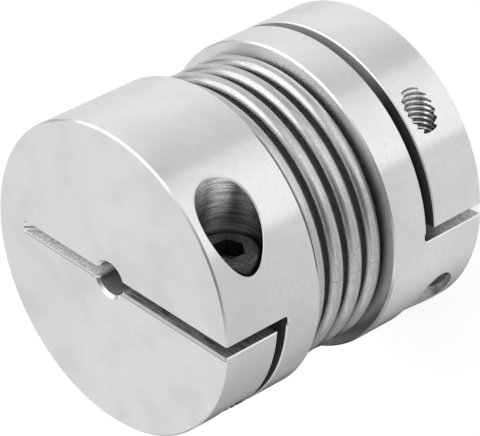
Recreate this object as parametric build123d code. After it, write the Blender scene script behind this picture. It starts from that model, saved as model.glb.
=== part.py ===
from build123d import *
from math import hypot, sqrt
import os

# Metal bellows coupling, in millimetres, standing on the outer face of its rear hub.
# Z runs along the axis of rotation, from the rear hub up to the front hub.
# X points to the open end of the front slit, and Y to the head of the front screw.

# Hubs, two of the same part, turned from bar and then sawn
hub_diameter = 56.0
hub_length = 21.0
rim_chamfer = 0.3
bore_diameter = 6.0
bore_chamfer = 0.5
rear_hub_turn = 3.9  # degrees that the rear hub is turned about the axis from the front one
front_screw_turn = 25.0  # degrees that the front screw is turned in its hole from the rear one

# Saw cuts that free the clamp jaw of a hub
saw_width = 2.0
jaw_length = 11.4  # along the axis, from the outer face to the cross slit
hinge_web = 6.0  # metal left at the outer face, past the end of the long slit
saw_diameter = 80.0
saw_edge_radius = 0.8  # rounded rim of the saw that cuts the long slit
slit_overrun = 0.3  # the long slit is this much deeper than the far wall of the cross slit
slit_edge_chamfer = 0.2  # deburred edges where the slits open to the outside

# Clamp screw, a socket head cap screw
thread_diameter = 6.0
screw_length = 20.0
head_diameter = 10.0
head_height = 6.0
head_edge_radius = 0.5
socket_width = 5.0  # across the flats
socket_depth = 3.0
socket_point = 1.2  # depth of the cone that the drill leaves in the floor of the socket
tip_chamfer = 0.8

# Place of the clamp screw in its hub
screw_inset = 7.7  # from the outside of the hub, in towards its axis
screw_height = 7.3  # from the outer face
clamp_land = 6.0  # metal between the long slit and the seat of the head
head_clearance = 0.5  # around the head
mouth_chamfer = 0.2  # deburred edge of the counterbore
hole_clearance = 0.3  # around the thread, under the head
thread_play = 0.05  # around the thread, in the jaw

# Bellows, one formed sleeve of thin sheet
convolutions = 4
pitch = 4.3
crest_diameter = 52.2
collar_diameter = 39.0
crest_width = 3.0
sheet_thickness = 0.3

# Ring groove in the inner face of a hub that holds the collar of the bellows
collar_depth = 4.0
bond_gap = 0.1  # adhesive around the collar

hub_radius = hub_diameter / 2
gap_between_hubs = convolutions * pitch
overall_length = 2 * hub_length + gap_between_hubs
saw_radius = saw_diameter / 2
screw_offset = hub_radius - screw_inset
seat_distance = saw_width / 2 + clamp_land
collar_radius = collar_diameter / 2
past = 1.0  # how far a cutting shape runs out of the metal


def turned_hub():
    # Half section of the turned blank, with its outer face down at z = 0
    bore = bore_diameter / 2
    groove_outer = collar_radius + bond_gap
    groove_inner = collar_radius - sheet_thickness - bond_gap
    groove_floor = hub_length - collar_depth - bond_gap
    section = Polyline(
        (bore + bore_chamfer, 0),
        (hub_radius - rim_chamfer, 0),
        (hub_radius, rim_chamfer),
        (hub_radius, hub_length - rim_chamfer),
        (hub_radius - rim_chamfer, hub_length),
        (groove_outer, hub_length),
        (groove_outer, groove_floor),
        (groove_inner, groove_floor),
        (groove_inner, hub_length),
        (bore, hub_length),
        (bore, bore_chamfer),
        close=True,
    )
    return revolve(Plane.XZ * make_face(section), Axis.Z)


def long_slit():
    # Cut by a disc that comes in from +X and stops short, so the floor ends in its arc
    depth = jaw_length + saw_width + slit_overrun
    arc_reach = sqrt(saw_radius**2 - (saw_radius - depth) ** 2)
    stop = hinge_web - hub_radius + arc_reach
    disc = Cylinder(saw_radius, saw_width)
    disc = fillet(disc.edges().filter_by(GeomType.CIRCLE), saw_edge_radius)
    disc = Pos(stop, 0, depth - saw_radius) * Rot(90, 0, 0) * disc
    run = hub_radius + past - stop
    corner = (Align.MIN, Align.CENTER, Align.MIN)
    path = Pos(stop, 0, -past) * Box(run, saw_width, depth + past, align=corner)
    floor = path.faces().sort_by(Axis.Z)[-1]
    path = fillet(floor.edges().filter_by(Axis.X), saw_edge_radius)
    return disc + path


def cross_slit():
    # Cut across the jaw half, on the +Y side, as far as the middle of the long slit
    reach = hub_radius + past
    corner = (Align.CENTER, Align.MIN, Align.MIN)
    return Pos(0, 0, jaw_length) * Box(2 * reach, reach, saw_width, align=corner)


def sawn_hub():
    # Saw both slits, then deburr the edges that they leave on the outside
    blank = turned_hub()
    slits = long_slit() + cross_slit()
    sawn = blank - slits
    outside = []
    for edge in new_edges(blank, slits, combined=sawn):
        middle = edge @ 0.5
        if middle.Z < rim_chamfer or hypot(middle.X, middle.Y) > hub_radius - rim_chamfer:
            outside.append(edge)
    return chamfer(outside, slit_edge_chamfer)


def screw_hole():
    # Head counterbore on the -Y side, clearance hole to the slit, tapped hole in the jaw
    reach = hub_radius + past
    counterbore = Cylinder(head_diameter / 2 + head_clearance, reach - seat_distance)
    clearance = Cylinder(thread_diameter / 2 + hole_clearance, seat_distance)
    tapped = Cylinder(thread_diameter / 2 + thread_play, reach)
    counterbore = Pos(0, 0, (reach + seat_distance) / 2) * counterbore
    clearance = Pos(0, 0, seat_distance / 2) * clearance
    tapped = Pos(0, 0, -reach / 2) * tapped
    return screw_place() * (counterbore + clearance + tapped)


def screw_place():
    # On the screw axis at the middle of the slit, with the head towards -Y
    return Pos(screw_offset, 0, screw_height) * Rot(90, 0, 0)


def make_hub():
    hub = sawn_hub() - screw_hole()
    mouth = hub.edges().filter_by(GeomType.BSPLINE).sort_by(SortBy.LENGTH)[-1]
    return chamfer(mouth, mouth_chamfer)


def make_screw(turn):
    # The head rests on its seat and the thread reaches down into the jaw
    head = extrude(Circle(head_diameter / 2), head_height)
    head = fillet(head.edges().sort_by(Axis.Z)[-1], head_edge_radius)
    socket_radius = socket_width / sqrt(3)
    socket = extrude(RegularPolygon(socket_radius, 6), -socket_depth)
    point_align = (Align.CENTER, Align.CENTER, Align.MAX)
    drill_point = Cone(0, socket_width / 2, socket_point, align=point_align)
    thread = extrude(Circle(thread_diameter / 2), -screw_length)
    thread = chamfer(thread.edges().sort_by(Axis.Z)[0], tip_chamfer)
    screw = head + thread - Pos(0, 0, head_height) * socket
    screw -= Pos(0, 0, head_height - socket_depth) * drill_point
    return screw_place() * Pos(0, 0, seat_distance) * Rot(0, 0, turn) * screw


def bellows_side(inset):
    # One side of the sheet, as radius and height, from the rear collar to the front one
    crest = crest_width / 2 - inset
    root = (pitch - crest_width) / 2 + inset
    crest_centre = (crest_diameter - crest_width) / 2
    root_centre = collar_radius + (pitch - crest_width) / 2
    straight = collar_radius - inset
    first = hub_length
    last = hub_length + gap_between_hubs
    side = [Line((straight, first - collar_depth), (straight, first))]
    side.append(CenterArc((root_centre, first), root, 180, -90))
    for count in range(convolutions):
        middle = first + (count + 0.5) * pitch
        side.append(Line((root_centre, middle - crest), (crest_centre, middle - crest)))
        side.append(CenterArc((crest_centre, middle), crest, -90, 180))
        side.append(Line((crest_centre, middle + crest), (root_centre, middle + crest)))
        if count < convolutions - 1:
            side.append(CenterArc((root_centre, middle + pitch / 2), root, 270, -180))
    side.append(CenterArc((root_centre, last), root, 270, -90))
    side.append(Line((straight, last), (straight, last + collar_depth)))
    return side


def make_bellows():
    outside = bellows_side(0)
    inside = bellows_side(sheet_thickness)
    ends = [Line(outside[0] @ 0, inside[0] @ 0), Line(outside[-1] @ 1, inside[-1] @ 1)]
    section = make_face(outside + inside + ends)
    return revolve(Plane.XZ * section, Axis.Z)


at_rear = Rot(0, 0, rear_hub_turn)
at_front = Pos(0, 0, overall_length) * Rot(180, 0, 0)
hub = make_hub()

parts = {
    "rear_hub": at_rear * hub,
    "rear_clamp_screw": at_rear * make_screw(0),
    "bellows": make_bellows(),
    "front_hub": at_front * hub,
    "front_clamp_screw": at_front * make_screw(front_screw_turn),
}

os.makedirs("parts", exist_ok=True)
for name, shape in parts.items():
    export_step(shape, f"parts/{name}.step")
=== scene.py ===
import math
import bmesh
import bpy
from mathutils import Matrix, Vector


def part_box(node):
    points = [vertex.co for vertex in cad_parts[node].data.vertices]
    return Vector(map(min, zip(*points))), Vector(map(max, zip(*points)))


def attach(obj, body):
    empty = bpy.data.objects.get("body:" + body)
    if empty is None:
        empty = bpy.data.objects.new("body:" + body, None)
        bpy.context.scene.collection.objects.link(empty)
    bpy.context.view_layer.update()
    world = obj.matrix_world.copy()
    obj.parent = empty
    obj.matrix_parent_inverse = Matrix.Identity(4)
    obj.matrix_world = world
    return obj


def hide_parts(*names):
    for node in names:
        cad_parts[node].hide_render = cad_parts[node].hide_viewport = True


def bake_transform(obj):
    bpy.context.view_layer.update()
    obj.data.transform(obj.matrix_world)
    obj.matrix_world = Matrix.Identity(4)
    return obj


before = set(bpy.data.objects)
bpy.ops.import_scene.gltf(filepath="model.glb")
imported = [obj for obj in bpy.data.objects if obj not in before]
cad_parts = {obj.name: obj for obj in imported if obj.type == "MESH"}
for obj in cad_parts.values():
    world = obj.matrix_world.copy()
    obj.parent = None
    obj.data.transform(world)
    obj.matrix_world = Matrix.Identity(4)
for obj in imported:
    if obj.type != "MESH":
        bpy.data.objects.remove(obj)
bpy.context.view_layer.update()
mm = 0.001
print("frame loaded")

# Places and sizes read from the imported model, in metres
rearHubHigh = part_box("rear_hub")[1]
frontHubLow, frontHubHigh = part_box("front_hub")
bellowsLow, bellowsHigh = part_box("bellows")
screwLow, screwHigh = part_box("front_clamp_screw")
hubRadius = frontHubHigh.x
hubLength = rearHubHigh.z
overallLength = frontHubHigh.z
middleHeight = overallLength / 2
screwOffset = (screwLow.x + screwHigh.x) / 2
screwHeight = (screwLow.z + screwHigh.z) / 2
rearTurn = math.radians(3.9)  # the rear hub is turned this far about the axis
mergeDistance = 0.0005 * mm  # corners closer than this are one

# What is made at the front hub goes to the rear hub by this turn end for end
toRear = (
    Matrix.Rotation(rearTurn, 4, "Z")
    @ Matrix.Translation((0, 0, overallLength))
    @ Matrix.Rotation(math.pi, 4, "X")
)


def radians(*degrees):
    return tuple(math.radians(value) for value in degrees)


def hexColour(code):
    values = [int(code[i:i + 2], 16) / 255 for i in (1, 3, 5)]
    linear = [v / 12.92 if v <= 0.04045 else ((v + 0.055) / 1.055) ** 2.4 for v in values]
    return (*linear, 1)


def addNode(tree, kind, settings=None, links=None):
    # A setting is a property of the node or the value of one of its inputs
    node = tree.nodes.new("ShaderNode" + kind)
    for name, value in (settings or {}).items():
        if isinstance(name, str) and hasattr(node, name):
            setattr(node, name, value)
        else:
            node.inputs[name].default_value = value
    for name, source in (links or {}).items():
        tree.links.new(source, node.inputs[name])
    return node


def newMaterial(name):
    material = bpy.data.materials.new(name)
    material.use_nodes = True
    material.node_tree.nodes.clear()
    return material, material.node_tree


def addSurface(tree, settings, links):
    shader = addNode(tree, "BsdfPrincipled", settings, links)
    addNode(tree, "OutputMaterial", {}, {"Surface": shader.outputs[0]})


def maths(tree, operation, first, second=0.0, clamp=False):
    settings = {"operation": operation, "use_clamp": clamp}
    links = {}
    for index, value in enumerate((first, second)):
        if isinstance(value, (int, float)):
            settings[index] = value
        else:
            links[index] = value
    return addNode(tree, "Math", settings, links).outputs[0]


def chain(tree, operation, *values):
    # The same operation over any number of values
    result = values[0]
    for value in values[1:]:
        result = maths(tree, operation, result, value)
    return result


def product(tree, *factors):
    return chain(tree, "MULTIPLY", *factors)


def largest(tree, *masks):
    return chain(tree, "MAXIMUM", *masks)


def inverse(tree, mask):
    return maths(tree, "SUBTRACT", 1.0, mask)


def distance(tree, first, second):
    # Length of two steps at right angles
    squares = maths(tree, "ADD", maths(tree, "POWER", first, 2), maths(tree, "POWER", second, 2))
    return maths(tree, "SQRT", squares)


def fade(tree, value, start, end):
    # 0 at start, 1 at end and smooth between them, whichever of the two is the larger
    settings = {"interpolation_type": "SMOOTHSTEP", "From Min": start, "From Max": end}
    return addNode(tree, "MapRange", settings, {"Value": value}).outputs["Result"]


def under(tree, value, limit, soft=0.02 * mm):
    # 1 where the value is under the limit
    return fade(tree, value, limit + soft, limit - soft)


def over(tree, value, limit, soft=0.02 * mm):
    # 1 where the value is over the limit
    return fade(tree, value, limit - soft, limit + soft)


def blend(tree, factor, first, second, kind="RGBA"):
    # Either side is a hex colour, a plain value or the output of another node
    mix = addNode(tree, "Mix", {"data_type": kind}, {"Factor": factor})
    socketType = "VALUE" if kind == "FLOAT" else kind
    for letter, source in (("A", first), ("B", second)):
        target = [i for i in mix.inputs if i.name == letter and i.type == socketType][0]
        if isinstance(source, bpy.types.NodeSocket):
            tree.links.new(source, target)
        else:
            target.default_value = hexColour(source) if isinstance(source, str) else source
    return [o for o in mix.outputs if o.type == socketType][0]


def objectPlace(tree):
    return addNode(tree, "TexCoord").outputs["Object"]


def separated(tree, place):
    return addNode(tree, "SeparateXYZ", {}, {"Vector": place}).outputs


def grains(tree, place, size, detail):
    # Noise with grains of about this size
    settings = {"Scale": 1 / size, "Detail": detail}
    return addNode(tree, "TexNoise", settings, {"Vector": place}).outputs["Fac"]


def noise(tree, x, y, z, detail=3):
    # Noise over a space of its own, in which a step of 1 is one grain
    place = addNode(tree, "CombineXYZ", {}, {"X": x, "Y": y, "Z": z})
    settings = {"Scale": 1, "Detail": detail, "Roughness": 0.6}
    return addNode(tree, "TexNoise", settings, {"Vector": place.outputs[0]}).outputs["Fac"]


def bumpFrom(tree, height):
    # The height is in metres
    return addNode(tree, "Bump", {"Strength": 1, "Distance": 1}, {"Height": height}).outputs[0]


# Aluminium alloy bar, turned on a lathe and left bare: bright and satin, with fine
# rings round the axis that smear reflections across them. The walls of the saw cuts are
# dull and grainy, and the counterbore has coarser rings of its own round the screw.
# Places are in hub space: the outer face at height 0, the slit's open end at +X and the
# screw's head at -Y.
turned = {
    "colour": "#f0f0f0",
    "roughness": 0.23,
    "anisotropy": 0.88,
    "skin": 0.22 * mm,  # what lies deeper than this under the bar's outside was cut later
    "rim": 0.35 * mm,
    "rimRoughness": 0.3,
    "rimPlain": 0.6,  # share of the rings' smear that the rims lack
    "boreRadius": 3.6 * mm,  # with the chamfer at its mouth
    "boreRim": 0.55 * mm,
    "ringColour": "#e9e9e9",
    "ringFade": (0.4, 0.7),
    "ringSpacing": 0.33 * mm,  # feed of the lathe tool, drawn coarse enough to show
    "faceDepth": 0.0021 * mm,  # of the rings on the end faces
    "sideDepth": 0.005 * mm,  # and on the side
    "faceStreaks": 3,  # how often the rings change in one radian, on the end faces
    "sideStreaks": 16,  # and on the side, where they are broken by short scratches
    "smudgeColour": "#e8e8e8",  # where the bare metal has been handled
    "smudgeFade": (0.42, 0.66),
    "smudgeSize": 9 * mm,
    "innerFaceShadeColour": "#c8c8c8",  # painted shade: the face towards the bellows is darker on its lower half, where the bellows and the other hub shade it
    "innerFaceDepth": 0.06 * mm,
    "innerFaceSoft": 0.04 * mm,
    "innerFaceFades": (radians(45, -15), radians(-48, -28)),
    "innerRimShadeColour": "#6c6c6c",  # painted shade: and its rim is darker beside the counterbore, where it mirrors the shadow under the coupling
    "innerRimLength": 0.55 * mm,
    "innerRimDepth": 0.32 * mm,
    "innerRimSoft": 0.05 * mm,
    "innerRimFades": (radians(-8, -16), radians(-70, -60)),
}
deburred = {
    "colour": "#f2f2f2",
    "faceColour": "#b8b8b8",  # on the end faces
    "roughness": 0.4,
    "depths": (0.01 * mm, 0.04 * mm),  # its finish comes in over these, under the bar's outside
    "slitEnd": (-21.9 * mm, -21 * mm),  # closed end of the long slit
}
filed = {
    "colour": "#d0d0d0",  # one side of the front slit was filed down as far as a fine line
    "edgeColour": "#9e9e9e",
    "halves": (-0.5 * mm, 0.5 * mm),  # from the closed half of the slit to the open one
    "slitEnd": (-21.8 * mm, -21 * mm),
    "depth": 0.25 * mm,
    "wall": 0.95 * mm,  # just inside the slit's wall, from the middle of the slit
    "edge": 1.2 * mm,  # where the deburred edge meets the face
    "soft": 0.05 * mm,
    "boreSoft": 0.1 * mm,
    "lineColour": "#6c6c6c",
    "lineAt": (1.2 * mm, 1.6 * mm),  # from the middle, on the closed and the open half
    "lineWidth": 0.1 * mm,
    "lineSoft": 0.03 * mm,
}
sawn = {
    "colour": "#ffffff",
    "pitColour": "#c8c8c8",
    "pitFade": (0.35, 0.7),
    "roughness": 0.85,
    "metallic": 0.4,  # torn metal scatters most of its light
    "bareHeights": (10 * mm, 2 * mm),  # the rear hub's cuts turn to bare metal at its face
    "grain": 0.28 * mm,
    "grainDepth": 0.02 * mm,
    "slitHalf": 1.2 * mm,  # the long slit lies within this of the middle
    "markColour": "#5e5e5e",  # the blade rubbed where the long slit is open at the side
    "markReach": (3 * mm, 4 * mm),
    "markFade": (0.4, 0.6),
    "markSpacing": 0.24 * mm,
    "markLength": 5 * mm,
    "markShare": 0.62,
    # painted shade: the cross slit is darker, as little light gets into it
    "crossShadeColour": "#b4b4b4",
    "crossStart": (11.0 * mm, 11.1 * mm),
    "crossEnd": 13.8 * mm,
    "crossSide": (-0.2 * mm, 0.8 * mm),
    "slitShadeColour": "#4c4c4c",  # painted shade: darker in the cross slit and round its corner, where little light gets in
    "slitShadeReach": (11 * mm, 18 * mm),  # from the middle towards the open end
    "slitShadeHeights": (7 * mm, 13.5 * mm),
    "slitShadeSide": (19 * mm, 27 * mm),
    "slitShadeSideShare": 0.4,
}
sawFloor = {
    "colour": "#f4f4f4",  # the rim of the saw leaves the floor smooth, and rounded into the walls
    "roughness": 0.22,
    "sawRadius": 40 * mm,
    "sawCentre": (8.14 * mm, -26.3 * mm),  # along X, and in from the outer face
    "band": 0.75 * mm,
    "bandSoft": 0.03 * mm,
    "reach": (-10 * mm, -12 * mm),
}
bored = {
    "colour": "#fafaf9",
    "ringColour": "#b0b0b0",
    "ringFade": (0.4, 0.65),
    "seatShadeColour": "#dedede",  # painted shade: the wall is darker deep in the counterbore, near the seat
    "seatShadeRingColour": "#8a8a8a",
    "seatShadeFade": (-20 * mm, -13.5 * mm),
    "roughness": 0.25,
    "anisotropy": 0.92,
    "spacing": 0.4 * mm,
    "depth": 0.01 * mm,
    "radius": 5.9 * mm,
    "headSide": (-3 * mm, -4 * mm),
    "grainShare": 0.3,  # how much of the saw cuts' grain shows in the counterbore
    "speckColour": "#969696",
    "speckFade": (0.52, 0.66),
    "speckShare": 0.5,
}
drilled = {"colour": "#d2d2d2", "roughness": 0.34}


def hubSpace(tree, rotation, location):
    settings = {"Rotation": rotation, "Location": location}
    return addNode(tree, "Mapping", settings, {"Vector": objectPlace(tree)}).outputs[0]


def fromScrewAxis(tree, x, z):
    across = maths(tree, "SUBTRACT", x, screwOffset)
    along = maths(tree, "SUBTRACT", z, overallLength - screwHeight)
    return across, along


def roundScrew(tree, across, along, rotation):
    # Direction round the clamp screw's axis, turned back from hub space to the object's own
    ring = addNode(tree, "CombineXYZ", {}, {"X": along, "Z": maths(tree, "MULTIPLY", across, -1.0)})
    settings = {"rotation_type": "EULER_XYZ", "invert": True, "Rotation": rotation}
    return addNode(tree, "VectorRotate", settings, {"Vector": ring.outputs[0]}).outputs[0]


def hubZones(tree, place, sawMarks):
    # Measures of a point on a hub, and its share in each zone of the surface, from 0 to 1
    x, y, z = separated(tree, place)
    radius = distance(tree, x, y)
    underSide = maths(tree, "SUBTRACT", hubRadius, radius)
    underEnds = maths(tree, "MINIMUM", z, maths(tree, "SUBTRACT", hubLength, z))
    depth = maths(tree, "MINIMUM", underSide, underEnds)

    # The bar's skin and the rims were turned, and what lies deeper was cut later. The
    # deburred edges lie between the two.
    atEnds = under(tree, underEnds, turned["rim"])
    atRim = product(tree, atEnds, under(tree, underSide, turned["rim"]))
    nearBore = under(tree, radius, turned["boreRadius"])
    atBoreRim = product(tree, under(tree, underEnds, turned["boreRim"]), nearBore)
    offRims = inverse(tree, largest(tree, atRim, atBoreRim))
    cut = product(tree, over(tree, depth, turned["skin"]), offRims)
    edge = product(tree, fade(tree, depth, *deburred["depths"]), offRims, inverse(tree, cut))

    # Bore, and the counterbore round the screw's axis
    inBore = product(tree, nearBore, cut)
    across, along = fromScrewAxis(tree, x, z)
    fromScrew = distance(tree, across, along)
    headSide = fade(tree, y, *bored["headSide"])
    inCounterbore = product(tree, under(tree, fromScrew, bored["radius"]), headSide, cut)

    # Long slit: the blade's marks on its open half, and the smooth floor of the closed end
    inSlit = product(tree, under(tree, maths(tree, "ABSOLUTE", y), sawn["slitHalf"]), cut)
    onMarks = product(tree, inSlit, fade(tree, x, *sawn["markReach"]))
    sawX, sawZ = sawFloor["sawCentre"]
    fromSaw = distance(tree, maths(tree, "SUBTRACT", x, sawX), maths(tree, "SUBTRACT", z, sawZ))
    floorStart = sawFloor["sawRadius"] - sawFloor["band"]
    atFloor = over(tree, fromSaw, floorStart, sawFloor["bandSoft"])
    onFloor = product(tree, inSlit, atFloor, fade(tree, x, *sawFloor["reach"]))

    # Cross slit, and the painted shade in it and round its corner
    crossBand = product(tree, fade(tree, z, *sawn["crossStart"]), under(tree, z, sawn["crossEnd"]))
    inCrossSlit = product(tree, cut, crossBand, fade(tree, y, *sawn["crossSide"]))
    shadeInCross = product(tree, inCrossSlit, fade(tree, x, *sawn["slitShadeReach"]))
    shadeAtSide = product(tree, fade(tree, x, *sawn["slitShadeSide"]), sawn["slitShadeSideShare"] * sawMarks)
    shadeAtCorner = largest(tree, fade(tree, z, *sawn["slitShadeHeights"]), shadeAtSide)
    slitShade = largest(tree, shadeInCross, product(tree, shadeAtCorner, onMarks))

    smoothCuts = largest(tree, inCounterbore, inBore, onFloor)
    grainy = maths(tree, "SUBTRACT", cut, smoothCuts, clamp=True)
    return {
        "x": x, "y": y, "z": z, "radius": radius, "underSide": underSide,
        "across": across, "along": along, "fromScrew": fromScrew,
        "ends": atEnds, "rim": atRim, "edge": edge, "cut": cut, "grainy": grainy, "floor": onFloor,
        "bore": inBore, "counterbore": inCounterbore,
        "marks": onMarks, "crossSlit": inCrossSlit, "slitShade": slitShade,
    }


def turnedColour(tree, at, angle, rings, smudges, sawMarks):
    ringShade = product(tree, fade(tree, rings, *turned["ringFade"]), inverse(tree, at["ends"]))
    smudgeShade = fade(tree, smudges, *turned["smudgeFade"])
    colour = blend(tree, smudgeShade, turned["colour"], turned["smudgeColour"])
    colour = blend(tree, ringShade, colour, turned["ringColour"])
    # Painted shade on the lower half of the face towards the bellows
    faceStart, faceStop = turned["innerFaceFades"]
    innerFaceShade = product(
        tree, over(tree, at["z"], hubLength - turned["innerFaceDepth"], turned["innerFaceSoft"]),
        fade(tree, angle, *faceStart), fade(tree, angle, *faceStop),
    )
    colour = blend(tree, innerFaceShade, colour, turned["innerFaceShadeColour"])
    alongSlit = product(tree, at["ends"], fade(tree, at["x"], *deburred["slitEnd"]))
    edgeColour = blend(tree, alongSlit, deburred["colour"], deburred["faceColour"])
    colour = blend(tree, at["edge"], colour, edgeColour)
    # Painted shade on the rim of that face
    rimStart, rimStop = turned["innerRimFades"]
    innerRimShade = product(
        tree, over(tree, at["z"], hubLength - turned["innerRimLength"], turned["innerRimSoft"]),
        under(tree, at["underSide"], turned["innerRimDepth"]),
        fade(tree, angle, *rimStart), fade(tree, angle, *rimStop),
        0.5 + 0.5 * sawMarks,  # painted shade about half as strong on the rear hub
    )
    return blend(tree, innerRimShade, colour, turned["innerRimShadeColour"])


def filedColour(tree, at, colour, sawMarks):
    # The filed strip and its line, laid over the colour that is there
    x, y = at["x"], at["y"]
    openHalf = fade(tree, x, *filed["halves"])
    besideSlit = product(
        tree, under(tree, at["z"], filed["depth"]), fade(tree, x, *filed["slitEnd"]),
        over(tree, at["radius"], turned["boreRadius"], filed["boreSoft"]), sawMarks,
    )
    closedLine, openLine = filed["lineAt"]
    inWidth = product(tree, over(tree, y, filed["wall"], filed["soft"]), under(tree, y, openLine))
    onFace = over(tree, y, filed["edge"], filed["soft"])
    stripColour = blend(tree, onFace, filed["edgeColour"], filed["colour"])
    colour = blend(tree, product(tree, besideSlit, openHalf, inWidth), colour, stripColour)
    lineAt = blend(tree, openHalf, closedLine, openLine, "FLOAT")
    fromLine = maths(tree, "ABSOLUTE", maths(tree, "SUBTRACT", y, lineAt))
    onLine = under(tree, fromLine, filed["lineWidth"] / 2, filed["lineSoft"])
    return blend(tree, product(tree, besideSlit, onLine), colour, filed["lineColour"])


def sawnColour(tree, at, grain, marks, sawMarks):
    colour = blend(tree, fade(tree, grain, *sawn["pitFade"]), sawn["colour"], sawn["pitColour"])
    markShade = product(tree, at["marks"], fade(tree, marks, *sawn["markFade"]), sawMarks)
    plainShade = product(tree, at["marks"], sawn["markShare"] * sawMarks)
    colour = blend(tree, largest(tree, markShade, plainShade), colour, sawn["markColour"])
    # Painted shade in the cross slit, and deeper in the slits round its corner
    colour = blend(tree, at["crossSlit"], colour, sawn["crossShadeColour"])
    return blend(tree, at["slitShade"], colour, sawn["slitShadeColour"])


def boredColour(tree, at, grain, boreRings, boreMarks):
    # Painted shade deep in the counterbore, near the seat
    seatShade = fade(tree, at["y"], *bored["seatShadeFade"])
    light = blend(tree, seatShade, bored["colour"], bored["seatShadeColour"])
    dark = blend(tree, seatShade, bored["ringColour"], bored["seatShadeRingColour"])
    ringShare = product(tree, fade(tree, boreRings, *bored["ringFade"]), boreMarks)
    specks = product(tree, fade(tree, grain, *bored["speckFade"]), bored["speckShare"])
    return blend(tree, specks, blend(tree, ringShare, light, dark), bored["speckColour"])


def makeTurnedAluminium(name, rotation, location, sawMarks):
    # The last value says how much of the saw's marks the hub shows, where 1 is all of them
    material, tree = newMaterial(name)
    place = hubSpace(tree, rotation, location)
    at = hubZones(tree, place, sawMarks)
    boreMarks = 0.3 + 0.7 * sawMarks  # the rear hub's counterbore was made with a sharper tool

    # Patterns
    angle = maths(tree, "ARCTAN2", at["y"], at["x"])
    streaks = blend(tree, at["ends"], turned["sideStreaks"], turned["faceStreaks"], "FLOAT")
    rings = noise(
        tree, maths(tree, "DIVIDE", at["radius"], turned["ringSpacing"]),
        maths(tree, "DIVIDE", at["z"], turned["ringSpacing"]), product(tree, angle, streaks),
    )
    boreRings = noise(
        tree, maths(tree, "DIVIDE", at["fromScrew"], bored["spacing"]),
        maths(tree, "DIVIDE", at["y"], bored["spacing"]),
        maths(tree, "ARCTAN2", at["along"], at["across"]), 5,
    )
    marks = noise(
        tree, maths(tree, "DIVIDE", at["x"], sawn["markLength"]),
        maths(tree, "DIVIDE", at["y"], sawn["markSpacing"]),
        maths(tree, "DIVIDE", at["z"], sawn["markSpacing"]), 2,
    )
    grain = grains(tree, place, sawn["grain"], 3)
    smudges = grains(tree, place, turned["smudgeSize"], 4)

    # Relief
    ringDepth = blend(tree, at["ends"], turned["sideDepth"], turned["faceDepth"], "FLOAT")
    ringHeight = product(tree, rings, ringDepth, inverse(tree, at["cut"]))
    rough = largest(tree, at["grainy"], product(tree, at["counterbore"], bored["grainShare"]))
    grainHeight = product(tree, grain, sawn["grainDepth"], rough)
    boreHeight = product(tree, boreRings, bored["depth"] * boreMarks, at["counterbore"])
    normal = bumpFrom(tree, chain(tree, "ADD", ringHeight, grainHeight, boreHeight))

    # Colour
    colour = turnedColour(tree, at, angle, rings, smudges, sawMarks)
    colour = filedColour(tree, at, colour, sawMarks)
    colour = blend(tree, at["cut"], colour, sawnColour(tree, at, grain, marks, sawMarks))
    inside = boredColour(tree, at, grain, boreRings, boreMarks)
    for zone, zoneColour in (
        ("counterbore", inside), ("bore", drilled["colour"]), ("floor", sawFloor["colour"]),
    ):
        colour = blend(tree, at[zone], colour, zoneColour)

    # Roughness, and how far reflections are smeared across the rings
    roughness = turned["roughness"]
    for zone, zoneRoughness in (
        ("edge", deburred["roughness"]), ("rim", turned["rimRoughness"]), ("cut", sawn["roughness"]),
        ("counterbore", bored["roughness"]), ("bore", drilled["roughness"]),
        ("floor", sawFloor["roughness"]),
    ):
        roughness = blend(tree, at[zone], roughness, zoneRoughness, "FLOAT")
    rimPlain = product(tree, at["rim"], turned["rimPlain"])
    plain = largest(tree, at["edge"], at["grainy"], at["floor"], rimPlain)
    strength = blend(tree, at["counterbore"], turned["anisotropy"], bored["anisotropy"], "FLOAT")
    smear = product(tree, inverse(tree, plain), strength)

    # The grooves run round the hub's axis, and in the counterbore round the screw's
    roundHub = addNode(tree, "Tangent", {"direction_type": "RADIAL", "axis": "Z"})
    boreTangent = roundScrew(tree, at["across"], at["along"], rotation)
    tangent = blend(tree, at["counterbore"], roundHub.outputs[0], boreTangent, "VECTOR")
    bare = product(tree, fade(tree, at["z"], *sawn["bareHeights"]), 1.0 - sawMarks)
    sawnMetallic = blend(tree, bare, sawn["metallic"], 1.0, "FLOAT")
    metallic = blend(tree, at["grainy"], 1.0, sawnMetallic, "FLOAT")
    addSurface(tree, {"Anisotropic Rotation": 0.25}, {
        "Base Color": colour, "Metallic": metallic, "Roughness": roughness, "Anisotropic": smear,
        "Normal": normal, "Tangent": tangent,
    })
    return material


# Stainless steel strip, rolled thin, welded to a tube and pressed into waves: brighter on
# the crests, warm grey, with faint drawing lines round it and one weld seam along it.
stainless = {
    "colour": "#d6d4d3",
    "roughness": 0.18,
    "streakColour": "#bebcba",
    "streakFade": (0.35, 0.7),
    "streakSpacing": 0.22 * mm,
    "streaksRound": 14,  # how often a streak changes in one radian
    "streakDepth": 0.006 * mm,
    "streakRoughness": 0.1,
    "speckColour": "#bcbab8",
    "speckFade": (0.5, 0.72),
    "grain": 0.3 * mm,  # pressing leaves the skin of the sheet slightly rough
    "grainDepth": 0.011 * mm,
    "grooveRoughness": 0.55,
    "grooveFade": (24.6 * mm, 23.1 * mm),
    "seamColour": "#a09e9c",
    "seamShare": 0.5,
    "seamAngle": math.radians(1.3),
    "seamEdge": radians(0.35, 0.14),
    "seamBreaks": (0.7, 0.4),
    "seamDepth": 0.02 * mm,
}


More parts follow.
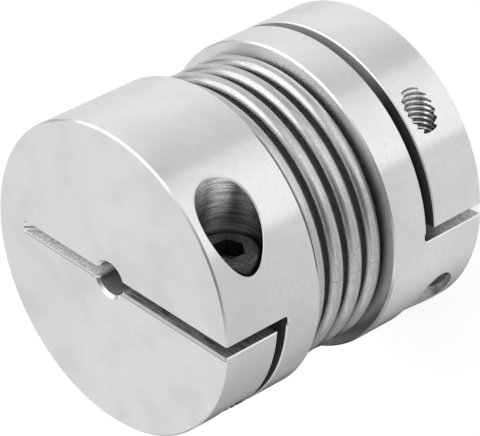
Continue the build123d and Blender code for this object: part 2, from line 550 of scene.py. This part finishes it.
def makeStainless():
    material, tree = newMaterial("formedStainlessSheet")
    place = objectPlace(tree)
    x, y, z = separated(tree, place)
    angle = maths(tree, "ARCTAN2", y, x)
    radius = distance(tree, x, y)
    streaks = noise(
        tree, maths(tree, "DIVIDE", radius, stainless["streakSpacing"]),
        maths(tree, "DIVIDE", z, stainless["streakSpacing"]),
        maths(tree, "MULTIPLY", angle, stainless["streaksRound"]), 4,
    )
    grain = grains(tree, place, stainless["grain"], 3)
    fromSeam = maths(tree, "ABSOLUTE", maths(tree, "SUBTRACT", angle, stainless["seamAngle"]))
    unbroken = fade(tree, streaks, *stainless["seamBreaks"])
    seam = product(tree, fade(tree, fromSeam, *stainless["seamEdge"]), unbroken)
    normal = bumpFrom(tree, chain(
        tree, "ADD", product(tree, streaks, stainless["streakDepth"]),
        product(tree, seam, -stainless["seamDepth"]), product(tree, grain, stainless["grainDepth"]),
    ))
    streakShade = fade(tree, streaks, *stainless["streakFade"])
    specks = fade(tree, grain, *stainless["speckFade"])
    colour = blend(tree, streakShade, stainless["colour"], stainless["streakColour"])
    colour = blend(tree, specks, colour, stainless["speckColour"])
    seamShade = product(tree, seam, stainless["seamShare"])
    colour = blend(tree, seamShade, colour, stainless["seamColour"])
    inGroove = fade(tree, radius, *stainless["grooveFade"])
    roughness = blend(tree, inGroove, stainless["roughness"], stainless["grooveRoughness"], "FLOAT")
    streakRoughness = product(tree, streaks, stainless["streakRoughness"])
    addSurface(tree, {"Metallic": 1}, {
        "Base Color": colour, "Roughness": maths(tree, "ADD", roughness, streakRoughness),
        "Normal": normal,
    })
    return material


# Alloy steel with a black oxide finish and a film of oil: near black, half glossy and
# slightly blotchy where the oil has dried.
blackened = {
    "colour": "#464648",
    "dryColour": "#646466",
    "dryFade": (0.42, 0.66),
    "roughness": 0.42,
    "dryRoughness": 0.12,
    "blotch": 0.45 * mm,
    "blotchDepth": 0.02 * mm,
}


def makeBlackOxide():
    material, tree = newMaterial("blackOxideSteel")
    blotches = grains(tree, objectPlace(tree), blackened["blotch"], 5)
    dry = fade(tree, blotches, *blackened["dryFade"])
    dryRoughness = product(tree, dry, blackened["dryRoughness"])
    addSurface(tree, {"Metallic": 1}, {
        "Base Color": blend(tree, dry, blackened["colour"], blackened["dryColour"]),
        "Roughness": maths(tree, "ADD", blackened["roughness"], dryRoughness),
        "Normal": bumpFrom(tree, product(tree, blotches, blackened["blotchDepth"])),
    })
    return material


# The same aluminium where a tap has cut it: bright flanks with torn, darker streaks.
tapped = {
    "colour": "#f4f4f3",
    "tornColour": "#bcbcbc",
    "tornFade": (0.45, 0.7),
    "tearSize": mm / 0.9,
    "tearStretch": (1, 4, 1),
    "tearDepth": 0.006 * mm,
    "grooveShadeColour": "#868686",  # painted shade in the bottom of the thread
    "grooveFade": (2.7 * mm, 2.95 * mm),
    "roughness": 0.22,
    "anisotropy": 0.9,  # the tap's marks run round the hole
}


def makeTappedAluminium(name, rotation, location):
    material, tree = newMaterial(name)
    place = hubSpace(tree, rotation, location)
    parts = separated(tree, place)
    across, along = fromScrewAxis(tree, parts["X"], parts["Z"])
    inGroove = fade(tree, distance(tree, across, along), *tapped["grooveFade"])
    stretched = addNode(tree, "Mapping", {"Scale": tapped["tearStretch"]}, {"Vector": place})
    torn = grains(tree, stretched.outputs[0], tapped["tearSize"], 4)
    tears = fade(tree, torn, *tapped["tornFade"])
    colour = blend(tree, tears, tapped["colour"], tapped["tornColour"])
    # Painted shade in the bottom of the thread
    colour = blend(tree, inGroove, colour, tapped["grooveShadeColour"])
    finish = {
        "Metallic": 1, "Roughness": tapped["roughness"], "Anisotropic": tapped["anisotropy"],
        "Anisotropic Rotation": 0.25,
    }
    addSurface(tree, finish, {
        "Base Color": colour, "Normal": bumpFrom(tree, product(tree, torn, tapped["tearDepth"])),
        "Tangent": roundScrew(tree, across, along, rotation),
    })
    return material


frontTurn = (math.pi, 0, 0), (0, 0, overallLength)
backTurn = (0, 0, -rearTurn), (0, 0, 0)
frontAluminium = makeTurnedAluminium("turnedAluminiumFront", *frontTurn, 1.0)
rearAluminium = makeTurnedAluminium("turnedAluminiumRear", *backTurn, 0.1)
stainlessSheet = makeStainless()
blackOxide = makeBlackOxide()
frontTapped = makeTappedAluminium("tappedAluminiumFront", *frontTurn)
rearTapped = makeTappedAluminium("tappedAluminiumRear", *backTurn)
print("materials made")

for hubName, hubMaterial in (("front_hub", frontAluminium), ("rear_hub", rearAluminium)):
    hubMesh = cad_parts[hubName].data
    hubMesh.materials.clear()
    hubMesh.materials.append(hubMaterial)


def plainObject(name, bm):
    mesh = bpy.data.meshes.new(name)
    bm.to_mesh(mesh)
    bm.free()
    thing = bpy.data.objects.new(name, mesh)
    bpy.context.scene.collection.objects.link(thing)
    return thing


def shadeFaces(bm):
    bmesh.ops.recalc_face_normals(bm, faces=bm.faces)
    for face in bm.faces:
        face.smooth = True


def finishPiece(name, bm, material, sharpAngle):
    # Gives the mesh its outward normals and shading, and links it at the origin
    bmesh.ops.remove_doubles(bm, verts=bm.verts, dist=mergeDistance)
    shadeFaces(bm)
    piece = plainObject(name, bm)
    piece.data.set_sharp_from_angle(angle=math.radians(sharpAngle))
    piece.data.materials.append(material)
    return piece


def endVert(spun):
    return [part for part in spun["geom_last"] if isinstance(part, bmesh.types.BMVert)][0]


# Bellows: one sheet pressed into four waves, drawn as two halves that meet in the middle root
bellows = {
    "waves": 4,
    "crestWidth": 3.0 * mm,
    "sheet": 0.3 * mm,
    "crestSteps": 20,
    "rootSteps": 12,
    "around": 240,
}


def bellowsCollar():
    # The collar is the straight tube at the end of the bellows, inside the hub's groove
    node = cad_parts["bellows"]
    ends = [v.co.xy.length for v in node.data.vertices if v.co.z < bellowsLow.z + 0.01 * mm]
    return max(ends)


def arcFrom(bm, tip, centre, degrees, steps):
    return endVert(bmesh.ops.spin(
        bm, geom=[tip], cent=(centre[0], 0, centre[1]), axis=(0, 1, 0),
        angle=math.radians(degrees), steps=steps, use_duplicate=False,
    ))


def lineFrom(bm, tip, target):
    end = bmesh.ops.extrude_vert_indiv(bm, verts=[tip])["verts"][0]
    bmesh.ops.translate(bm, verts=[end], vec=(target[0] - end.co.x, 0, target[1] - end.co.z))
    return end


def makeBellowsHalf(name, upper):
    # The profile runs as radius and height from the rear collar to the middle root
    pitch = (frontHubLow.z - hubLength) / bellows["waves"]
    crest = bellows["crestWidth"] / 2
    root = pitch / 2 - crest
    collarRadius = bellowsCollar()
    crestCentre = bellowsHigh.x - crest
    rootCentre = collarRadius + root
    bm = bmesh.new()
    tip = bm.verts.new((collarRadius, 0, bellowsLow.z))
    tip = lineFrom(bm, tip, (collarRadius, hubLength))
    tip = arcFrom(bm, tip, (rootCentre, hubLength), 90, bellows["rootSteps"] // 2)
    for wave in range(bellows["waves"] // 2):
        middle = hubLength + (wave + 0.5) * pitch
        tip = lineFrom(bm, tip, (crestCentre, middle - crest))
        tip = arcFrom(bm, tip, (crestCentre, middle), -180, bellows["crestSteps"])
        tip = lineFrom(bm, tip, (rootCentre, middle + crest))
        lastWave = wave == bellows["waves"] // 2 - 1
        bend = 90 if lastWave else 180
        steps = bellows["rootSteps"] * bend // 180
        tip = arcFrom(bm, tip, (rootCentre, middle + pitch / 2), bend, steps)
    bmesh.ops.spin(
        bm, geom=bm.verts[:] + bm.edges[:], cent=(0, 0, 0), axis=(0, 0, 1),
        angle=2 * math.pi, steps=bellows["around"], use_merge=True, use_duplicate=False,
    )
    bmesh.ops.recalc_face_normals(bm, faces=bm.faces)
    bmesh.ops.solidify(bm, geom=bm.faces[:], thickness=bellows["sheet"])
    if upper:
        flip = Matrix.Translation((0, 0, 2 * middleHeight)) @ Matrix.Scale(-1, 4, (0, 0, 1))
        bmesh.ops.transform(bm, matrix=flip, verts=bm.verts)
    return finishPiece(name, bm, stainlessSheet, 50)


rearHalf = makeBellowsHalf("bellowsRearHalf", False)
frontHalf = makeBellowsHalf("bellowsFrontHalf", True)
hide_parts("bellows")
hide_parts("bellows")
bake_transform(rearHalf)
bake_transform(frontHalf)
print("bellows made")


# Threads: M6 coarse, cut as a ridge of its own section that winds along the screw's axis
thread = {
    "pitch": 1.0 * mm,
    "major": 3.0 * mm,
    "minor": 2.42 * mm,
    "crestHalf": 0.07 * mm,
    "baseHalf": 0.43 * mm,
    "stepsPerTurn": 40,
}


def addRidge(bm, base, crest, start, turns):
    # A right-hand ridge about the Y axis, from a start height up
    section = [
        bm.verts.new((base, start - thread["baseHalf"], 0)),
        bm.verts.new((crest, start - thread["crestHalf"], 0)),
        bm.verts.new((crest, start + thread["crestHalf"], 0)),
        bm.verts.new((base, start + thread["baseHalf"], 0)),
    ]
    cap = bm.faces.new(section)
    bmesh.ops.spin(
        bm, geom=[cap, *cap.edges, *cap.verts], cent=(0, 0, 0), axis=(0, 1, 0),
        dvec=(0, thread["pitch"] / thread["stepsPerTurn"], 0), angle=math.radians(360 * turns),
        steps=turns * thread["stepsPerTurn"], use_duplicate=False,
    )


def cutBy(piece, cutter, operation):
    boolean = piece.modifiers.new("cut", "BOOLEAN")
    boolean.operation = operation
    boolean.solver = "EXACT"
    boolean.object = cutter
    graph = bpy.context.evaluated_depsgraph_get()
    finished = bpy.data.meshes.new_from_object(piece.evaluated_get(graph))
    piece.modifiers.clear()
    old = piece.data
    piece.data = finished
    bpy.data.meshes.remove(old)
    bpy.data.objects.remove(cutter)


# Tapped hole: the turns that show between the screw's end and the mouth of the hole
tappedHole = {
    "wall": 3.06 * mm,
    "crest": 2.6 * mm,
    "fromTip": 0.6 * mm,  # the first turn starts this far past the end of the screw
    "mouth": 22.4 * mm,
    "skinGap": 0.006 * mm,  # the ridge stops this far under the hub's outside
}


def makeTappedThread(name, body, place, material, skin):
    start = -screwLow.y + tappedHole["fromTip"]
    turns = math.ceil((tappedHole["mouth"] - start) / thread["pitch"])
    bm = bmesh.new()
    addRidge(bm, tappedHole["wall"], tappedHole["crest"], start, turns)
    turnOver = Matrix.Translation((screwOffset, 0, screwHeight)) @ Matrix.Rotation(math.pi, 4, "X")
    bmesh.ops.transform(bm, matrix=turnOver, verts=bm.verts)
    piece = finishPiece(name, bm, material, 30)
    bm = bmesh.new()
    outside = hubRadius - tappedHole["skinGap"]
    bmesh.ops.create_cone(
        bm, cap_ends=True, segments=360, depth=2 * overallLength, radius1=outside, radius2=outside,
    )
    cutBy(piece, plainObject("hubOutside", bm), "INTERSECT")
    # The hub's turned skin goes on over the ends of the ridge at the mouth
    piece.data.materials.append(skin)
    for face in piece.data.polygons:
        if face.center.xy.length > outside - tappedHole["skinGap"]:
            face.material_index = 1
    piece.data.transform(place)
    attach(piece, body)


makeTappedThread("frontTappedThread", "front_hub", Matrix.Identity(4), frontTapped, frontAluminium)
makeTappedThread("rearTappedThread", "rear_hub", toRear, rearTapped, rearAluminium)
print("threads made")


# Socket head cap screw: a turned head with a straight knurl, a hexagon socket and a full thread
screw = {
    "head": 5.0 * mm,
    "headHeight": 6.0 * mm,
    "headEdge": 0.5 * mm,
    "headEdgeSteps": 8,
    "seatEdge": 0.15 * mm,  # chamfer under the head
    "neck": 0.6 * mm,  # the shank widens over this length to meet the head
    "socket": 5.0 * mm,  # across the flats
    "socketDepth": 3.0 * mm,
    "socketPoint": 1.2 * mm,  # depth of the drill point in the floor of the socket
    "tip": 0.8 * mm,
    "threadStart": 0.55 * mm,  # from the tip to the middle of the first turn
    "threadless": 1.6 * mm,  # what the thread leaves free of the shank, at both ends together
    "threadRoot": 0.04 * mm,  # how far the ridge is sunk into the shank
    "knurlDepth": 0.09 * mm,
    "knurlLow": 0.7 * mm,
    "knurlHigh": 4.9 * mm,
    "around": 144,  # two steps for each tooth of the knurl
    "near": 0.01 * mm,  # play when the lines of the knurl are picked out
}
screwTopY = screwHigh.y
screwSeatY = screwTopY - screw["headHeight"]


def addTurnedScrew(bm):
    # Half section from the tip to the top of the head, spun about Y
    tipY = screwLow.y
    core = thread["minor"]
    head = screw["head"]
    chamfer = screw["tip"] / 2
    corners = [
        (0, tipY), (core - chamfer, tipY), (core, tipY + chamfer), (core, screwSeatY - screw["neck"]),
        (thread["major"], screwSeatY), (head - screw["seatEdge"], screwSeatY),
        (head, screwSeatY + screw["seatEdge"]), (head, screwSeatY + screw["knurlLow"]),
        (head, screwSeatY + screw["knurlHigh"]), (head, screwTopY - screw["headEdge"]),
    ]
    verts = [bm.verts.new((radius, height, 0)) for radius, height in corners]
    for first, second in zip(verts, verts[1:]):
        bm.edges.new((first, second))
    edgeCentre = (head - screw["headEdge"], screwTopY - screw["headEdge"], 0)
    tip = endVert(bmesh.ops.spin(
        bm, geom=[verts[-1]], cent=edgeCentre, axis=(0, 0, 1),
        angle=math.radians(90), steps=screw["headEdgeSteps"], use_duplicate=False,
    ))
    centre = bmesh.ops.extrude_vert_indiv(bm, verts=[tip])["verts"][0]
    bmesh.ops.translate(bm, verts=[centre], vec=(-centre.co.x, 0, 0))
    bmesh.ops.spin(
        bm, geom=bm.verts[:] + bm.edges[:], cent=(0, 0, 0), axis=(0, 1, 0),
        angle=2 * math.pi, steps=screw["around"], use_merge=True, use_duplicate=False,
    )
    bmesh.ops.remove_doubles(bm, verts=bm.verts, dist=mergeDistance)
    # Every second line of the head's side is pushed in, which leaves the knurl's flutes
    lowest = screwSeatY + screw["knurlLow"] - screw["near"]
    highest = screwSeatY + screw["knurlHigh"] + screw["near"]
    for vert in bm.verts:
        step = math.atan2(vert.co.z, vert.co.x) / (2 * math.pi) * screw["around"]
        onSide = lowest < vert.co.y < highest and vert.co.xz.length > head - screw["near"]
        if onSide and round(step) % 2:
            vert.co.xz *= 1 - screw["knurlDepth"] / head


def socketCutter(turn):
    # A hexagon that stands half above the top of the head
    corner = screw["socket"] / math.sqrt(3)
    bm = bmesh.new()
    bmesh.ops.create_cone(
        bm, cap_ends=True, segments=6, radius1=corner, radius2=corner, depth=2 * screw["socketDepth"],
    )
    toTop = Matrix.Translation((0, screwTopY, 0)) @ Matrix.Rotation(-math.pi / 2, 4, "X")
    flatsTurn = Matrix.Rotation(turn + math.pi / 6, 4, "Z")
    bmesh.ops.transform(bm, matrix=toTop @ flatsTurn, verts=bm.verts)
    return plainObject("socketHexagon", bm)


def pointCutter():
    # The drill's cone, whose wide end lies a hair above the floor of the socket
    depth = screw["socketPoint"]
    middle = screwTopY - screw["socketDepth"] + 0.001 * mm - depth / 2
    bm = bmesh.new()
    bmesh.ops.create_cone(
        bm, cap_ends=True, segments=96, radius1=0, radius2=screw["socket"] / 2, depth=depth,
    )
    upright = Matrix.Translation((0, middle, 0)) @ Matrix.Rotation(-math.pi / 2, 4, "X")
    bmesh.ops.transform(bm, matrix=upright, verts=bm.verts)
    return plainObject("drillPoint", bm)


def makeScrew(name, node, body, turn, place):
    bm = bmesh.new()
    addTurnedScrew(bm)
    piece = finishPiece(name, bm, blackOxide, 30)
    cutBy(piece, socketCutter(turn), "DIFFERENCE")
    cutBy(piece, pointCutter(), "DIFFERENCE")
    bm = bmesh.new()
    bm.from_mesh(piece.data)
    threaded = screwSeatY - screwLow.y - screw["threadless"]
    addRidge(
        bm, thread["minor"] - screw["threadRoot"], thread["major"],
        screwLow.y + screw["threadStart"], math.floor(threaded / thread["pitch"]),
    )
    shadeFaces(bm)
    bm.to_mesh(piece.data)
    bm.free()
    piece.data.set_sharp_from_angle(angle=math.radians(30))
    piece.data.transform(place @ Matrix.Translation((screwOffset, 0, screwHeight)))
    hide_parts(node)
    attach(piece, body)


makeScrew("frontScrew", "front_clamp_screw", "front_screw", math.radians(25), Matrix.Identity(4))
makeScrew("rearScrew", "rear_clamp_screw", "rear_screw", 0, toRear)
print("screws made")


# Studio: a white tent round the object, a soft box, a pale floor and the camera.
# Levels are how bright the tent looks from the object, where 1 is white.
tent = {
    "ringStops": [  # azimuth in degrees and level, seen below the horizon
        (-180, 0.82), (-145, 0.8), (-130, 0.45), (-110, 0.33), (-65, 0.57), (-40, 0.65), (23, 0.68),
        (28, 1.0), (60, 1.0), (83, 0.85), (87, 0.65), (97, 0.65), (140, 0.9), (160, 0.9), (179, 0.82),
    ],
    "horizon": (-0.1, 0.3),  # as sines of the height
    "upperLevel": 0.79,
    "diffuseLevel": 0.85,
    "darkSides": [  # direction, angles in degrees where the dark ends and starts to fade, level
        ((0.6, 0.1, 0.79), 8, 40, 0.13),
        ((0.85, 0.28, 0.45), 6, 24, 0.35),
        ((-0.97, 0.1, 0.17), 6, 18, 0.4),
    ],
}
tentSheet = {
    "azimuth": math.radians(47),
    "halfWidth": math.radians(24),
    "soft": 0.12,  # in radians
    "top": radians(25, 10),
    "bottom": (-0.4, -0.15),  # as sines of the height
    "level": 1.15,
}
white = (1, 1, 1, 1)


def seenDirectly(tree, path):
    # Rays from the camera, also those that pass through something on the way
    return largest(tree, path.outputs["Is Camera Ray"], path.outputs["Is Transmission Ray"])


def towards(tree, place, direction):
    settings = {"operation": "DOT_PRODUCT", 1: direction}
    return addNode(tree, "VectorMath", settings, {0: place}).outputs["Value"]


def makeTent():
    world = bpy.data.worlds.new("whiteTent")
    bpy.context.scene.world = world
    world.use_nodes = True
    world.cycles.sampling_method = "NONE"  # so that each kind of ray sees its own level
    tree = world.node_tree
    tree.nodes.clear()
    toSky = addNode(tree, "TexCoord").outputs["Generated"]
    x, y, z = separated(tree, toSky)
    azimuth = maths(tree, "ARCTAN2", y, x)
    position = maths(tree, "ADD", maths(tree, "MULTIPLY", azimuth, 0.5 / math.pi), 0.5)
    ramp = addNode(tree, "ValToRGB", {}, {"Fac": position})
    stops = ramp.color_ramp.elements
    while len(stops) < len(tent["ringStops"]):
        stops.new(0.5)
    for stop, (degrees, level) in zip(stops, tent["ringStops"]):
        stop.position = degrees / 360 + 0.5
        stop.color = (level, level, level, 1)
    upperShare = fade(tree, z, *tent["horizon"])
    level = blend(tree, upperShare, ramp.outputs[0], tent["upperLevel"], "FLOAT")
    # A white sheet on the right goes on above the horizon
    off = maths(tree, "ABSOLUTE", maths(tree, "SUBTRACT", azimuth, tentSheet["azimuth"]))
    top, fullFrom = (math.sin(height) for height in tentSheet["top"])
    onSheet = product(
        tree, under(tree, off, tentSheet["halfWidth"], tentSheet["soft"]),
        fade(tree, z, top, fullFrom), fade(tree, z, *tentSheet["bottom"]),
    )
    level = blend(tree, onSheet, level, tentSheet["level"], "FLOAT")
    # Dark gaps: two on the side where the camera stands, and one between sheets on the left
    for direction, inner, outer, darkLevel in tent["darkSides"]:
        away = maths(tree, "ARCCOSINE", towards(tree, toSky, Vector(direction).normalized()))
        darkShare = fade(tree, away, *radians(outer, inner))
        level = blend(tree, darkShare, level, darkLevel, "FLOAT")
    path = addNode(tree, "LightPath")
    plain = addNode(tree, "Background", {"Color": white, "Strength": 1})
    mirrored = addNode(tree, "Background", {"Color": white}, {"Strength": level})
    soft = addNode(tree, "Background", {"Color": white, "Strength": tent["diffuseLevel"]})
    byGloss = addNode(tree, "MixShader", {}, {
        0: path.outputs["Is Glossy Ray"], 1: soft.outputs[0], 2: mirrored.outputs[0],
    })
    allRays = addNode(tree, "MixShader", {}, {
        0: seenDirectly(tree, path), 1: byGloss.outputs[0], 2: plain.outputs[0],
    })
    addNode(tree, "OutputWorld", {}, {"Surface": allRays.outputs[0]})


softBox = {"direction": (-0.45, 0.62, 0.6), "distance": 1.0, "radius": 0.62, "watts": 3.4}


def makeSoftBox():
    lamp = bpy.data.lights.new("softBox", "AREA")
    lamp.shape = "DISK"
    lamp.size = 2 * softBox["radius"]
    lamp.energy = softBox["watts"]
    box = bpy.data.objects.new("softBox", lamp)
    bpy.context.scene.collection.objects.link(box)
    direction = Vector(softBox["direction"]).normalized()
    centre = Vector((0, 0, middleHeight))
    box.location = centre + direction * softBox["distance"]
    box.rotation_euler = direction.to_track_quat("Z", "Y").to_euler()
    box.visible_camera = False


# The photo was taken with the coupling lying on its side. Its metal mirrors the white table
# there, and the shadow under the coupling, so both stand here for reflections alone.
# Places run across the coupling from under its axis, and up along it.
table = {
    "towards": (0.44, -0.9),
    "distance": 31 * mm,
    "reach": (-60 * mm, 250 * mm),
    "height": (-300 * mm, 80 * mm),
    "litLevel": 0.76,
    "litFrom": (8 * mm, 25 * mm),
    "litEnd": (20 * mm, 20 * mm),  # across and up, a point of the lit part's slanting upper edge
    "litSlope": -0.6,
    "litSoft": 12 * mm,
    "halfLevel": 0.42,  # the half shadow between the lit part and the shadow
    "halfNear": (18 * mm, 12 * mm),
    "halfTop": (58 * mm, 46 * mm),
    "shadowLevel": 0.07,
    "shadowNear": (11 * mm, 3 * mm),
    "shadowFar": (-50 * mm, -25 * mm),
    "shadowTop": (60 * mm, 48 * mm),
}


def makeTable():
    outward = Vector((*table["towards"], 0)).normalized()
    sideways = Vector((-outward.y, outward.x, 0))
    material, tree = newMaterial("mirroredTable")
    place = objectPlace(tree)
    z = separated(tree, place)["Z"]
    run = towards(tree, place, sideways)
    litRun, litHeight = table["litEnd"]
    slant = maths(tree, "MULTIPLY", maths(tree, "SUBTRACT", run, litRun), table["litSlope"])
    belowEdge = maths(tree, "SUBTRACT", maths(tree, "ADD", slant, litHeight), z)
    lit = product(
        tree, fade(tree, belowEdge, 0, table["litSoft"]), fade(tree, run, *table["litFrom"]),
    )
    half = product(tree, fade(tree, run, *table["halfNear"]), fade(tree, z, *table["halfTop"]))
    shadow = product(
        tree, fade(tree, run, *table["shadowNear"]), fade(tree, run, *table["shadowFar"]),
        fade(tree, z, *table["shadowTop"]),
    )
    layered = addNode(tree, "BsdfTransparent")
    for share, level in ((half, "halfLevel"), (lit, "litLevel"), (shadow, "shadowLevel")):
        glow = addNode(tree, "Emission", {"Color": white, "Strength": table[level]})
        layers = {0: share, 1: layered.outputs[0], 2: glow.outputs[0]}
        layered = addNode(tree, "MixShader", {}, layers)
    addNode(tree, "OutputMaterial", {}, {"Surface": layered.outputs[0]})
    material.cycles.emission_sampling = "NONE"
    bm = bmesh.new()
    left, right = (outward * table["distance"] + sideways * reach for reach in table["reach"])
    low, high = table["height"]
    corners = [(left, low), (right, low), (right, high), (left, high)]
    bm.faces.new([bm.verts.new((foot.x, foot.y, height)) for foot, height in corners])
    sheet = plainObject("mirroredTable", bm)
    sheet.data.materials.append(material)
    sheet.visible_camera = False
    sheet.visible_diffuse = False
    sheet.visible_transmission = False
    sheet.visible_shadow = False


floorSheet = {"size": 4.0, "drop": 0.05 * mm, "glow": 0.72, "colour": "#a8a8a8"}


def makeFloor():
    material, tree = newMaterial("whitePaper")
    seen = seenDirectly(tree, addNode(tree, "LightPath"))
    paper = {
        "Base Color": hexColour(floorSheet["colour"]), "Roughness": 1, "Specular IOR Level": 0,
        "Emission Color": white,
    }
    addSurface(tree, paper, {"Emission Strength": product(tree, seen, floorSheet["glow"])})
    material.cycles.emission_sampling = "NONE"
    bm = bmesh.new()
    bmesh.ops.create_grid(bm, x_segments=1, y_segments=1, size=floorSheet["size"] / 2)
    bmesh.ops.translate(bm, verts=bm.verts, vec=(0, 0, -floorSheet["drop"]))
    floor = plainObject("floor", bm)
    floor.data.materials.append(material)
    floor.visible_glossy = False  # metal mirrors the tent, which goes on under the floor


cameraSetup = {
    "aim": (0.25 * mm, -0.6 * mm, 29.91 * mm),
    "distance": 534.92 * mm,
    "azimuth": math.radians(42.63),
    "elevation": math.radians(35.68),
    "roll": math.radians(-116.78),
    "lens": 237.33,
    "sensor": 36,
}


def makeCamera():
    azimuth, elevation, roll = (cameraSetup[name] for name in ("azimuth", "elevation", "roll"))
    level = Vector((-math.sin(azimuth), math.cos(azimuth), 0))
    outward = Vector((math.cos(azimuth), math.sin(azimuth), 0))
    backwards = outward * math.cos(elevation) + Vector((0, 0, math.sin(elevation)))
    upright = backwards.cross(level)
    right = level * math.cos(roll) + upright * math.sin(roll)
    up = backwards.cross(right)
    spot = Vector(cameraSetup["aim"]) + backwards * cameraSetup["distance"]
    lens = bpy.data.cameras.new("camera")
    lens.lens = cameraSetup["lens"]
    lens.sensor_fit = "HORIZONTAL"
    lens.sensor_width = cameraSetup["sensor"]
    camera = bpy.data.objects.new("camera", lens)
    bpy.context.scene.collection.objects.link(camera)
    columns = Matrix((right, up, backwards)).transposed().to_4x4()
    camera.matrix_world = Matrix.Translation(spot) @ columns
    bpy.context.scene.camera = camera


makeTent()
makeSoftBox()
makeTable()
makeFloor()
makeCamera()
bpy.context.scene.view_settings.view_transform = "Standard"
print("studio made")
